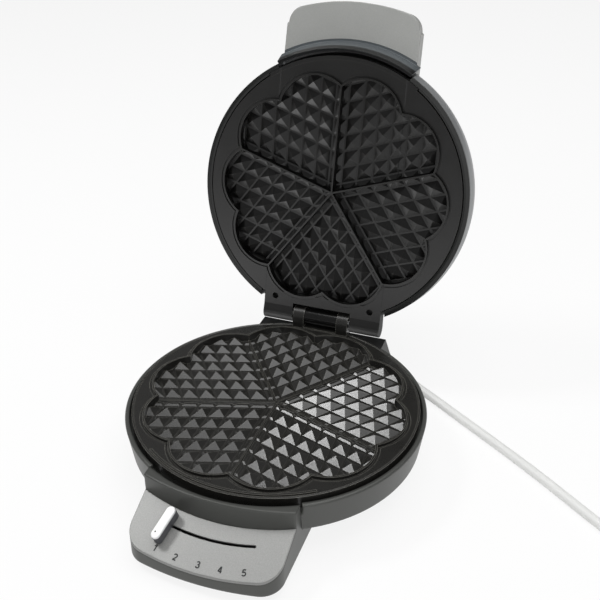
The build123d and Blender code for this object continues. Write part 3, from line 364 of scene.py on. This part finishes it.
# Which CAD nodes wear each finish
wearersAndEdgeHighlight = {
    "grid_coat": ("lower_plate",),
    "lid_coat": ("upper_plate",),
    "body_grey": ("base_shell", "base_nose"),
    "lid_paint": ("lid_shell",),
    "handle_grey": ("lid_handle",),
    "ring_grey": ("lid_ring",),
    "panel_silver": ("control_panel",),
    "black_plastic": ("rear_housing", "bottom_cover", "lever_arm"),
    "foot_rubber": ("foot_front_left", "foot_front_right", "foot_rear_left", "foot_rear_right"),
    "cord_grey": ("cord", "cord_coil", "strain_relief"),
    "plug_grey": ("plug_body",),
    "lever_white": ("lever_cap",),
    "lever_grey": ("lever_skirt",),
    "bright_steel": ("hinge_pin",),
    "gloss_black": ("hinge_sleeve",),
    "dark_steel": ("plate_screws",),
    "heater_steel": ("lower_heater", "upper_heater"),
    "plated_steel": ("lower_reflector", "upper_reflector", "cover_screws", "spindle_clip",
                     "thermostat", "thermostat_bracket"),
    "pin_brass": ("plug_pins",),
    "ceramic": ("terminal_block", "thermal_fuse"),
}
for slotName, wearers in wearersAndEdgeHighlight.items():
    for wearer in wearers:
        nodes[wearer].data.materials.clear()
        nodes[wearer].data.materials.append(finishes[slotName])
bare = set(nodes) - {wearer for wearers in wearersAndEdgeHighlight.values() for wearer in wearers}
print("stage: finishes, nodes without one:", sorted(bare))


# A surface over a grid of two parameters: points of shape (rows, columns, 3) become quads
def gridPiece(name, points, finish, closeColumns=False):
    points = np.asarray(points, float)
    rows, columns = points.shape[:2]
    number = np.arange(rows * columns).reshape(rows, columns)
    if closeColumns:
        number = np.hstack([number, number[:, :1]])
    quads = np.stack([number[:-1, :-1], number[:-1, 1:], number[1:, 1:], number[1:, :-1]], axis=-1)
    mesh = bpy.data.meshes.new(name)
    mesh.from_pydata(points.reshape(-1, 3).tolist(), [], quads.reshape(-1, 4).tolist())
    mesh.materials.append(finish)
    mesh.polygons.foreach_set("use_smooth", np.full(len(mesh.polygons), True))
    piece = bpy.data.objects.new(name, mesh)
    bpy.context.scene.collection.objects.link(piece)
    return piece


# Cord: control points of one open spline. The route leaves the relief, comes down to the
# table, crosses the picture and joins the coil, which lies just outside the view
cordShape = {
    "diameter": 0.006,
    "route": (
        (0.0564905, 0.0780866, 0.0079128),
        (0.0673156, 0.0710567, 0.0063639),
        (0.0845, 0.062298, 0.0040),
        (0.1025, 0.050298, 0.0030),
        (0.1270, 0.033198, 0.0030),
        (0.1580, 0.010598, 0.0030),
        (0.1916, -0.016602, 0.0030),
    ),
    "coilStart": (0.218, -0.036402, 0.0030),
    "coilHeading": -36.87,
    "coilRadius": 0.039,
    "turns": 1.75,
    "pitch": 0.0069,
    "rise": 0.0067,
    "dip": 0.0026,
    "pointsPerTurn": 16,
    "plugRun": 0.062,
    "plugAxis": 0.0185,
    "coilLead": 0.016,
    "plugLead": 0.018,
}


# Points of the coil: the radius shrinks by one pitch a turn, dips while the turn climbs to
# the upper layer, and grows by one pitch a turn again; the angle runs on evenly
def coilPoints(shape):
    heading = radians(shape["coilHeading"])
    ahead = np.array([cos(heading), sin(heading), 0.0])
    left = np.array([-ahead[1], ahead[0], 0.0])
    centre = np.array(shape["coilStart"]) + left * shape["coilRadius"]
    spiral = 2 * pi * shape["turns"]
    total = 2 * spiral + pi
    turned = np.linspace(0, total, round(total / (2 * pi) * shape["pointsPerTurn"]) + 1)
    share = np.clip((turned - spiral) / pi, 0, 1)
    wound = np.minimum(turned, spiral) - np.maximum(turned - spiral - pi, 0)
    radius = shape["coilRadius"] - shape["pitch"] * wound / (2 * pi) - shape["dip"] * np.sin(pi * share) ** 2
    climb = shape["rise"] * (share - np.sin(2 * pi * share) / (2 * pi))
    angle = heading - pi / 2 + turned
    rows = np.stack([radius * np.cos(angle), radius * np.sin(angle), climb], axis=1)
    last = angle[-1] + pi / 2
    return centre + rows, np.array([cos(last), sin(last), 0.0])


coil, plugWay = coilPoints(cordShape)
plugRise = np.array([0.0, 0.0, cordShape["plugAxis"] - coil[-1][2]])
plugRoot = coil[-1] + plugWay * cordShape["plugRun"] + plugRise
cordEnd = plugRoot + plugWay * cordShape["diameter"]
leads = [coil[-1] + plugWay * cordShape["coilLead"], plugRoot - plugWay * cordShape["plugLead"]]
tail = np.array([*leads, plugRoot, cordEnd])
controls = np.concatenate([np.array(cordShape["route"]), coil, tail])

cordCurve = bpy.data.curves.new("supplyCord", "CURVE")
cordCurve.dimensions = "3D"
cordCurve.bevel_depth = cordShape["diameter"] / 2
cordCurve.bevel_resolution = 5
cordCurve.resolution_u = 6
cordCurve.use_fill_caps = True
spline = cordCurve.splines.new("NURBS")
spline.points.add(len(controls) - 1)
spline.points.foreach_set("co", np.column_stack([controls, np.ones(len(controls))]).ravel())
spline.order_u = 3
spline.use_endpoint_u = True
supplyCord = bpy.data.objects.new("supplyCord", cordCurve)
supplyCord.data.materials.append(finishes["cord_grey"])
bpy.context.scene.collection.objects.link(supplyCord)
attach(supplyCord, "base")
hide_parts("cord", "cord_coil")


# A direction as a unit vector, with two more across it: the first level, the second upward
def acrossWay(way):
    way = np.asarray(way, float) / np.linalg.norm(way)
    level = np.cross(way, (0.0, 0.0, 1.0))
    level = level / np.linalg.norm(level)
    return way, level, np.cross(level, way)


# Turned surface: at each step along the axis a ring of that radius, cos and sin of the angle
# times the two vectors across it
def turned(name, start, way, steps, radii, finish, around=48):
    way, level, upward = acrossWay(way)
    steps, radii = np.asarray(steps, float), np.asarray(radii, float)
    if radii.ndim == 1:
        radii = np.repeat(radii[:, None], around, axis=1)
    angle = np.linspace(0, 2 * pi, around, endpoint=False)
    ring = np.cos(angle)[:, None] * level + np.sin(angle)[:, None] * upward
    points = np.asarray(start) + steps[:, None, None] * way + radii[:, :, None] * ring
    return gridPiece(name, points, finish, closeColumns=True)


# Relief: a sleeve with rounded ribs, sin squared of the distance along it, on the CAD taper
sleeve = {"start": (0.044, 0.086198, 0.0097), "way": (0.83270, -0.54076, -0.11915), "from": 0.0022,
          "to": 0.0149, "wide": 0.0043, "narrow": 0.0038, "rib": 0.0007, "ribs": 4}
share = np.linspace(0, 1, 61)
ribbed = sleeve["wide"] + (sleeve["narrow"] - sleeve["wide"]) * share
ribbed = ribbed + sleeve["rib"] * np.sin(pi * sleeve["ribs"] * share) ** 2
reliefRibs = turned("reliefRibs", sleeve["start"], sleeve["way"],
                    sleeve["from"] + (sleeve["to"] - sleeve["from"]) * share, ribbed, finishes["cord_grey"])
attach(reliefRibs, "base")

# Plug: the neck's radius grows with a power of the distance along it and carries ribs of sine
# squared. The round body has quarter circles for corners, and its side is scalloped for the
# fingers by half of one less the cosine, times exp of minus a power of the distance from its middle
plug = {"neck": 0.024, "body": 0.016, "radius": 0.0185, "root": 0.0048, "flare": 0.0112, "round": 0.0022,
        "flarePower": 2.2, "ribs": 5, "rib": 0.0007, "ribRun": 0.017, "backShare": 0.9, "around": 132,
        "scallops": 22, "scallop": 0.0005, "gripShare": 0.36, "gripPower": 6}
along = np.linspace(0, plug["neck"], 70)
part = along / plug["neck"]
neck = plug["root"] + (plug["flare"] - plug["root"]) * part ** plug["flarePower"]
ribShare = np.clip(along / plug["ribRun"], 0, 1)
neck = neck + plug["rib"] * np.sin(pi * plug["ribs"] * ribShare) ** 2
corner = np.linspace(0, pi / 2, 8)
frontStep = plug["neck"] + plug["round"] * (1 - np.cos(corner))
backStep = plug["neck"] + plug["body"] - plug["round"] * (1 - np.sin(corner))
middle = np.linspace(plug["neck"] + plug["round"], plug["neck"] + plug["body"] - plug["round"], 12)[1:-1]
edge = plug["radius"] - plug["round"]
steps = np.concatenate([[0.0], along, frontStep, middle, backStep, [plug["neck"] + plug["body"]] * 2])
front, back = (edge + plug["round"] * wave(corner) for wave in (np.sin, np.cos))
side = np.full(len(middle), plug["radius"])
radius = np.concatenate([[0.0], neck, front, side, back, [edge * plug["backShare"], 0.0]])
angle = np.linspace(0, 2 * pi, plug["around"], endpoint=False)
fromMiddle = (steps - plug["neck"] - plug["body"] / 2) / (plug["gripShare"] * plug["body"])
grip = np.exp(-(fromMiddle ** plug["gripPower"]))
scallops = 1 - np.outer(grip, 0.5 - 0.5 * np.cos(plug["scallops"] * angle)) * plug["scallop"] / plug["radius"]
plugShell = turned("plugShell", cordEnd, plugWay, steps, radius[:, None] * scallops,
                   finishes["plug_grey"], plug["around"])
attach(plugShell, "base")
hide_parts("plug_body")

# Tie round the coil, across from where the cord joins it: a strap whose loop is a
# superellipse in the plane of the coil's section
tie = {"inner": 0.0252, "outer": 0.0390, "top": 0.0133, "width": 0.0045, "power": 0.42, "skin": 0.0005,
       "lift": 0.0001, "crown": 0.9}
heading = radians(cordShape["coilHeading"])
ahead = np.array([cos(heading), sin(heading), 0.0])
leftWay = np.array([-ahead[1], ahead[0], 0.0])
coilCentre = np.array(cordShape["coilStart"]) * (1, 1, 0) + leftWay * cordShape["coilRadius"]
angle = np.linspace(0, 2 * pi, 72, endpoint=False)
loop = np.stack([np.sign(wave) * np.abs(wave) ** tie["power"] for wave in (np.cos(angle), np.sin(angle))])
outward = (tie["inner"] + tie["outer"]) / 2 + loop[0] * (tie["outer"] - tie["inner"]) / 2
upward = tie["top"] / 2 + loop[1] * (tie["top"] / 2 - tie["lift"])
strap = []
for shift, skin in ((-1, 0), (-tie["crown"], 1), (tie["crown"], 1), (1, 0)):
    grown = outward + loop[0] * tie["skin"] * skin
    raised = upward + np.maximum(loop[1], 0) * tie["skin"] * skin
    strap.append(coilCentre + grown[:, None] * leftWay + shift * tie["width"] / 2 * ahead
                 + raised[:, None] * np.array([0.0, 0.0, 1.0]))
coilTie = gridPiece("coilTie", np.stack(strap), finishes["black_plastic"], closeColumns=True)
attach(coilTie, "base")
print("stage: cord")

# Floor, lamps and world, in metres and watts: each way points from the aim to its lamp, and the
# shares and levels are parts of full white
studio = {
    "floorReach": 6.0,
    "floorWhite": 0.93,
    "floorSwing": 0.02,
    "floorBlotch": 0.4,
    "plainShare": 0.86,
    "worldLevel": 0.14,
    "mirroredShare": 0.05,
    "aim": (0, 0, 0.06),
    "keyWay": (-0.525, -0.125, 0.842),
    "keyReach": 1.35,
    "keyRadius": 0.16,
    "keyPower": 5.9,
    "skyWay": (0.22, 0.0, 0.97),
    "skyReach": 1.5,
    "skyRadius": 0.78,
    "skyPower": 15.5,
    "fillWay": (0.35, -0.80, 0.42),
    "fillReach": 1.6,
    "fillRadius": 0.7,
    "fillPower": 6.0,
    "lidWay": (-0.44, -0.57, -0.69),
    "lidReach": 1.6,
    "lidRadius": 0.8,
    "lidPower": 27.0,
}


def addLamp(name, way, reach, radius, power):
    light = bpy.data.lights.new(name, "AREA")
    light.shape = "DISK"
    light.size = 2 * radius
    light.energy = power
    lamp = bpy.data.objects.new(name, light)
    way = Vector(way).normalized()
    lamp.location = Vector(studio["aim"]) + way * reach
    lamp.rotation_euler = way.to_track_quat("Z", "Y").to_euler()
    bpy.context.scene.collection.objects.link(lamp)
    return lamp


# The photograph shows the open lid's grid in the shade of the lamps above and lit from the
# table at the front left, so they pass it over, and a lamp of its own shines up to it, which
# only the grid itself blocks
shaded = bpy.data.collections.new("shadedFromAbove")
shaded.objects.link(nodes["upper_plate"])
shaded.collection_objects[0].light_linking.link_state = "EXCLUDE"
litLow = bpy.data.collections.new("litFromTheTable")
litLow.objects.link(nodes["upper_plate"])
for kind, receivers in (("key", shaded), ("sky", shaded), ("fill", shaded), ("lid", litLow)):
    lamp = addLamp(kind + "Lamp", *(studio[kind + part] for part in ("Way", "Reach", "Radius", "Power")))
    lamp.light_linking.receiver_collection = receivers
    if kind == "lid":
        lamp.light_linking.blocker_collection = receivers


# Whether a ray comes from the camera, from gloss or through glass, each 0 or 1
def rayKinds(finish):
    kinds = ("Camera", "Glossy", "Transmission")
    return [finish.node("ShaderNodeLightPath", out=f"Is {kind} Ray") for kind in kinds]


# The world is white to the camera, and lights the object and shows in its gloss at a low level
air = Finish("studio", bpy.data.worlds.new("studio"))
direct, glossy, passed = rayKinds(air)
shown = direct + (glossy + passed) * studio["mirroredShare"]
strength = studio["worldLevel"] + shown * (1 - studio["worldLevel"])
background = air.node("ShaderNodeBackground", None, {"Color": (1, 1, 1), "Strength": strength})
air.node("ShaderNodeOutputWorld", None, {"Surface": background})
bpy.context.scene.world = air.material

# The floor is part white paint, part plain white for rays of the camera, of gloss and of
# glass, so that it shows the object's shadow on a white ground
floorFinish = Finish("floorWhite")
seen = sum(rayKinds(floorFinish))
white = studio["floorWhite"] + floorFinish.cloud(studio["floorBlotch"]) * studio["floorSwing"]
matteWhite = floorFinish.node("ShaderNodeCombineColor", None, {0: white, 1: white, 2: white})
matte = floorFinish.node("ShaderNodeBsdfDiffuse", None, {"Color": matteWhite})
plain = floorFinish.node("ShaderNodeEmission", None, {"Color": (1, 1, 1), "Strength": 1.0})
mixed = floorFinish.node("ShaderNodeMixShader", None, {0: seen * studio["plainShare"], 1: matte, 2: plain})
floorFinish.node("ShaderNodeOutputMaterial", None, {"Surface": mixed})

reach = studio["floorReach"]
corners = np.stack(np.meshgrid([-reach, reach], [-reach, reach], [0.0]), axis=-1).reshape(2, 2, 3)
floor = gridPiece("floor", corners, floorFinish.material)
print("stage: floor and lamps")

# Scale numbers of the dial, printed on the panel: angle and radius of each one's middle, its
# height and stroke in metres, how far it lies off the panel, with a step from stroke to stroke,
# and the middle and the strokes in shares of the height: polylines as points, arcs as centre,
# radius, first and last angle
dial = {
    "angles": (-10.96, -5.52, 0.3, 5.61, 11.17),
    "radius": 0.1302,
    "height": 0.0035,
    "stroke": 0.00072,
    "lift": 0.00006,
    "liftStep": 0.000004,
    "middle": (0.32, 0.5),
    "lines": {
        "1": [[(0.10, 0.70), (0.38, 0.96)], [(0.38, 1.0), (0.38, 0.0)]],
        "2": [[(0.10, 0.07), (0.50, 0.50)], [(0.03, 0.06), (0.60, 0.06)]],
        "3": [[(0.24, 0.54), (0.33, 0.54)]],
        "4": [[(0.44, 0.98), (0.06, 0.29)], [(0.03, 0.28), (0.62, 0.28)], [(0.46, 1.0), (0.46, 0.0)]],
        "5": [[(0.58, 0.94), (0.16, 0.94)], [(0.17, 0.97), (0.10, 0.48)]],
    },
    "arcs": {
        "2": [((0.31, 0.69), 0.25, 165, -42)],
        "3": [((0.30, 0.74), 0.21, 160, -90), ((0.30, 0.29), 0.25, 90, -160)],
        "5": [((0.31, 0.32), 0.27, 140, -150)],
    },
}
printInk = grained("printInk", {"dark": (14, 15, 16), "light": (22, 23, 24), "grain": 0.0003, "blotch": 0.003,
                                "roughness": 0.5, "roughSwing": 0.06, "depth": 0.000005, "edge": 0.0})


# A stroke is a ribbon: half the width to each side of its line, square to the line's direction
def addNumeral(digit, angle):
    centres = [np.array(line) for line in dial["lines"][digit]]
    for centre, radius, first, last in dial["arcs"].get(digit, ()):
        bend = np.radians(np.linspace(first, last, 25))
        centres.append(np.array(centre) + radius * np.stack([np.cos(bend), np.sin(bend)], axis=1))
    way = radians(angle)
    for count, centre in enumerate(centres):
        centre = (centre - dial["middle"]) * dial["height"]
        ahead = np.gradient(centre, axis=0)
        ahead = ahead / np.linalg.norm(ahead, axis=1, keepdims=True)
        side = np.stack([-ahead[:, 1], ahead[:, 0]], axis=1) * dial["stroke"] / 2
        ribbon = np.stack([centre + side, centre - side], axis=1)
        wide, high = ribbon[..., 0], ribbon[..., 1]
        u = wide * cos(way) - high * sin(way) + dial["radius"] * sin(way)
        v = wide * sin(way) + high * cos(way) + layout["pivotUp"] - dial["radius"] * cos(way)
        lift = np.full(u.shape, dial["lift"] + dial["liftStep"] * count)
        points = across(panelPlane, np.stack([u, v, lift], axis=-1))
        stroke = gridPiece(f"numeral_{digit}_{count}", points, printInk)
        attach(stroke, "base")


for place, angle in enumerate(dial["angles"]):
    addNumeral(str(place + 1), angle)

# Mark on the lever's cap: a small sunk spot, its height rising from the middle with the square
# of the radius
mark = {"angle": -11.6, "radius": 0.1246, "height": 0.00803, "size": 0.00042, "sink": 0.00003}
spin = np.linspace(0, 2 * pi, 24, endpoint=False)
rings = np.linspace(1, 0, 5)
way = radians(mark["angle"])
spot = np.stack([
    mark["radius"] * sin(way) + mark["size"] * np.outer(rings, np.cos(spin)),
    layout["pivotUp"] - mark["radius"] * cos(way) + mark["size"] * np.outer(rings, np.sin(spin)),
    mark["height"] - mark["sink"] * np.outer(1 - rings ** 2, np.ones(len(spin))),
], axis=-1)
leverMark = gridPiece("leverMark", across(panelPlane, spot), printInk, closeColumns=True)
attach(leverMark, "lever")
print("stage: dial")
